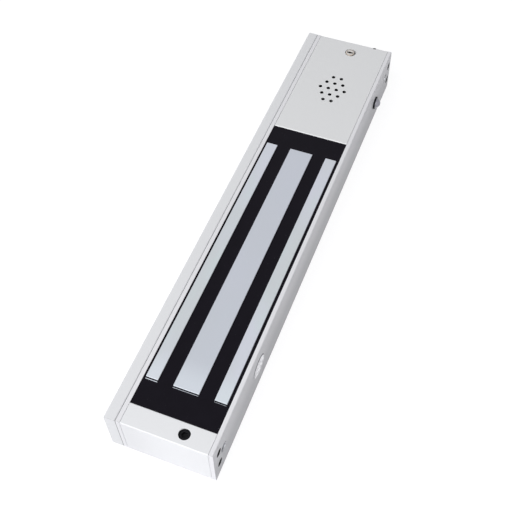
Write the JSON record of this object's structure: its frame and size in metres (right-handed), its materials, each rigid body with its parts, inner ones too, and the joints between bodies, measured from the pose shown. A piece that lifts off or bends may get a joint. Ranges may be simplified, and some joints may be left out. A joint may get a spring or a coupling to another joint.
{
  "type": "magnetic door lock",
  "caption": "Surface-mounted electromagnetic door lock: aluminium channel with potted E-core magnet, lidded electronics bay, status lamp, sounder grille and bolt-on mounting plate.",
  "frame": {"origin": "centre of the mounting plate's outer face", "axes": "+X runs along the length towards the electronics end, +Y is the mounting face's outward normal, +Z points out of the pole faces; the lock lies on its back"},
  "size_m": [0.25, 0.0511, 0.025],
  "materials": {
    "channel_aluminium": "extruded, fine satin, clear anodised",
    "plate_aluminium": "extruded, fine satin, clear anodised",
    "block_aluminium": "milled and satin anodised",
    "cover_aluminium": "satin anodised sheet",
    "core_steel": "ground flat and bright zinc plated",
    "black_resin": "poured epoxy, dull black",
    "bobbin_nylon": "natural moulded nylon",
    "enamelled_copper": "layered enamelled wire",
    "partition_plastic": "cut plastic sheet",
    "black_steel": "black oxide",
    "bright_steel": "polished",
    "zinc_steel": "bright zinc",
    "yellow_zinc": "pale yellow passivated zinc",
    "black_rubber": "soft matt rubber",
    "bezel_black": "moulded",
    "lens_plastic": "milky clear epoxy",
    "label_film": "printed film, blank",
    "board_green": "solder-masked glass fibre",
    "terminal_green": "moulded nylon",
    "tinned_brass": "tin plated",
    "nickel_brass": "nickel plated",
    "component_black": "moulded",
    "relay_case": "moulded",
    "capacitor_sleeve": "shrink sleeve on a can",
    "varistor_blue": "dipped epoxy",
    "lead_sheath": "soft wire insulation",
    "jumper_blue": "moulded",
    "resistor_chip": "glazed ceramic chip"
  },
  "bodies": {
    "magnet_body": {"housing": "channel_aluminium", "near_end_block": "block_aluminium", "far_end_block": "block_aluminium", "partition": "partition_plastic", "magnet_core": "core_steel", "coil_former": "bobbin_nylon", "coil_winding": "enamelled_copper", "bond_sensor": "component_black", "sensor_leads": "lead_sheath", "coil_leads": "lead_sheath", "potting": "black_resin", "near_block_screw": "black_steel", "end_block_screws": "black_steel", "core_screws": "zinc_steel", "cable_grommet": "black_rubber", "led_bezel": "bezel_black", "led_lens": "lens_plastic", "led_legs": "tinned_brass", "oval_label": "label_film", "board_standoffs": "nickel_brass", "board_screws": "zinc_steel", "circuit_board": "board_green", "terminal_pins": "tinned_brass", "terminal_block": "terminal_green", "relay": "relay_case", "sounder": "component_black", "jumper_header": "component_black", "header_pins": "tinned_brass", "capacitor": "capacitor_sleeve", "varistor": "varistor_blue", "control_chip": "component_black", "resistors": "resistor_chip", "diodes": "component_black"},
    "mounting_plate": {"mounting_plate": "plate_aluminium"},
    "cover": {"compartment_cover": "cover_aluminium"},
    "cover_screw": {"cover_screw": "yellow_zinc"},
    "cover_screw_washer": {"cover_screw_washer": "zinc_steel"},
    "near_plate_bolt": {"near_plate_bolt": "black_steel"},
    "near_bolt_washer": {"near_bolt_washer": "zinc_steel"},
    "near_key_plug": {"near_key_plug": "bright_steel"},
    "far_plate_bolt": {"far_plate_bolt": "black_steel"},
    "far_bolt_washer": {"far_bolt_washer": "zinc_steel"},
    "far_key_plug": {"far_key_plug": "bright_steel"},
    "terminal_screw_1": {"terminal_screw_1": "zinc_steel"},
    "terminal_screw_2": {"terminal_screw_2": "zinc_steel"},
    "terminal_screw_3": {"terminal_screw_3": "zinc_steel"},
    "terminal_screw_4": {"terminal_screw_4": "zinc_steel"},
    "terminal_screw_5": {"terminal_screw_5": "zinc_steel"},
    "terminal_clamp_1": {"terminal_clamp_1": "zinc_steel"},
    "terminal_clamp_2": {"terminal_clamp_2": "zinc_steel"},
    "terminal_clamp_3": {"terminal_clamp_3": "zinc_steel"},
    "terminal_clamp_4": {"terminal_clamp_4": "zinc_steel"},
    "terminal_clamp_5": {"terminal_clamp_5": "zinc_steel"},
    "voltage_jumper_1": {"voltage_jumper_1": "jumper_blue"},
    "voltage_jumper_2": {"voltage_jumper_2": "jumper_blue"},
    "sounder_jumper": {"sounder_jumper": "jumper_blue"}
  },
  "joints": [
    {"name": "plate_unbolting", "type": "slide", "parent": "magnet_body", "child": "mounting_plate", "axis": [0, 1, 0], "range_m": [0, 0.03]},
    {"name": "cover_lift", "type": "slide", "parent": "magnet_body", "child": "cover", "axis": [0, 0, 1], "range_m": [0, 0.03]},
    {"name": "cover_washer_rise", "type": "slide", "parent": "cover", "child": "cover_screw_washer", "axis": [0, 0, 1], "range_m": [0, 0.00525]},
    {"name": "cover_screw_turn", "type": "hinge", "parent": "cover_screw_washer", "child": "cover_screw", "pos_m": [0.117, -0.0266, 0.0109], "axis": [0, 0, 1], "range_deg": [0, 3781]},
    {"name": "near_washer_back", "type": "slide", "parent": "magnet_body", "child": "near_bolt_washer", "axis": [0, -1, 0], "range_m": [0, 0.0054]},
    {"name": "near_bolt_turn", "type": "hinge", "parent": "near_bolt_washer", "child": "near_plate_bolt", "pos_m": [-0.1154, -0.0363, 0.001], "axis": [0, -1, 0], "range_deg": [0, 2778]},
    {"name": "near_plug_pull", "type": "slide", "parent": "magnet_body", "child": "near_key_plug", "axis": [0, -1, 0], "range_m": [0, 0.008]},
    {"name": "far_washer_back", "type": "slide", "parent": "magnet_body", "child": "far_bolt_washer", "axis": [0, -1, 0], "range_m": [0, 0.0054]},
    {"name": "far_bolt_turn", "type": "hinge", "parent": "far_bolt_washer", "child": "far_plate_bolt", "pos_m": [0.1154, -0.0363, 0.001], "axis": [0, -1, 0], "range_deg": [0, 2778]},
    {"name": "far_plug_pull", "type": "slide", "parent": "magnet_body", "child": "far_key_plug", "axis": [0, -1, 0], "range_m": [0, 0.008]},
    {"name": "terminal_screw_1_turn", "type": "hinge", "parent": "magnet_body", "child": "terminal_screw_1", "pos_m": [0.0676, -0.0366, 0.0048], "axis": [0, 0, 1], "range_deg": [-1601, 0]},
    {"name": "terminal_clamp_1_rise", "type": "slide", "parent": "magnet_body", "child": "terminal_clamp_1", "axis": [0, 0, 1], "range_m": [0, 0.002]},
    {"name": "terminal_screw_2_turn", "type": "hinge", "parent": "magnet_body", "child": "terminal_screw_2", "pos_m": [0.0676, -0.0316, 0.0048], "axis": [0, 0, 1], "range_deg": [-1601, 0]},
    {"name": "terminal_clamp_2_rise", "type": "slide", "parent": "magnet_body", "child": "terminal_clamp_2", "axis": [0, 0, 1], "range_m": [0, 0.002]},
    {"name": "terminal_screw_3_turn", "type": "hinge", "parent": "magnet_body", "child": "terminal_screw_3", "pos_m": [0.0676, -0.0266, 0.0048], "axis": [0, 0, 1], "range_deg": [-1601, 0]},
    {"name": "terminal_clamp_3_rise", "type": "slide", "parent": "magnet_body", "child": "terminal_clamp_3", "axis": [0, 0, 1], "range_m": [0, 0.002]},
    {"name": "terminal_screw_4_turn", "type": "hinge", "parent": "magnet_body", "child": "terminal_screw_4", "pos_m": [0.0676, -0.0216, 0.0048], "axis": [0, 0, 1], "range_deg": [-1601, 0]},
    {"name": "terminal_clamp_4_rise", "type": "slide", "parent": "magnet_body", "child": "terminal_clamp_4", "axis": [0, 0, 1], "range_m": [0, 0.002]},
    {"name": "terminal_screw_5_turn", "type": "hinge", "parent": "magnet_body", "child": "terminal_screw_5", "pos_m": [0.0676, -0.0166, 0.0048], "axis": [0, 0, 1], "range_deg": [-1601, 0]},
    {"name": "terminal_clamp_5_rise", "type": "slide", "parent": "magnet_body", "child": "terminal_clamp_5", "axis": [0, 0, 1], "range_m": [0, 0.002]},
    {"name": "voltage_jumper_1_pull", "type": "slide", "parent": "magnet_body", "child": "voltage_jumper_1", "axis": [0, 0, 1], "range_m": [0, 0.005]},
    {"name": "voltage_jumper_2_pull", "type": "slide", "parent": "magnet_body", "child": "voltage_jumper_2", "axis": [0, 0, 1], "range_m": [0, 0.005]},
    {"name": "sounder_jumper_pull", "type": "slide", "parent": "magnet_body", "child": "sounder_jumper", "axis": [0, 0, 1], "range_m": [0, 0.005]}
  ],
  "couplings": [
    {"joint": "cover_screw_turn", "follows": "cover_washer_rise", "rad_per_m": 12566},
    {"joint": "near_bolt_turn", "follows": "near_washer_back", "rad_per_m": 8976},
    {"joint": "far_bolt_turn", "follows": "far_washer_back", "rad_per_m": 8976},
    {"joint": "terminal_screw_1_turn", "follows": "terminal_clamp_1_rise", "rad_per_m": -13963},
    {"joint": "terminal_screw_2_turn", "follows": "terminal_clamp_2_rise", "rad_per_m": -13963},
    {"joint": "terminal_screw_3_turn", "follows": "terminal_clamp_3_rise", "rad_per_m": -13963},
    {"joint": "terminal_screw_4_turn", "follows": "terminal_clamp_4_rise", "rad_per_m": -13963},
    {"joint": "terminal_screw_5_turn", "follows": "terminal_clamp_5_rise", "rad_per_m": -13963}
  ]
}
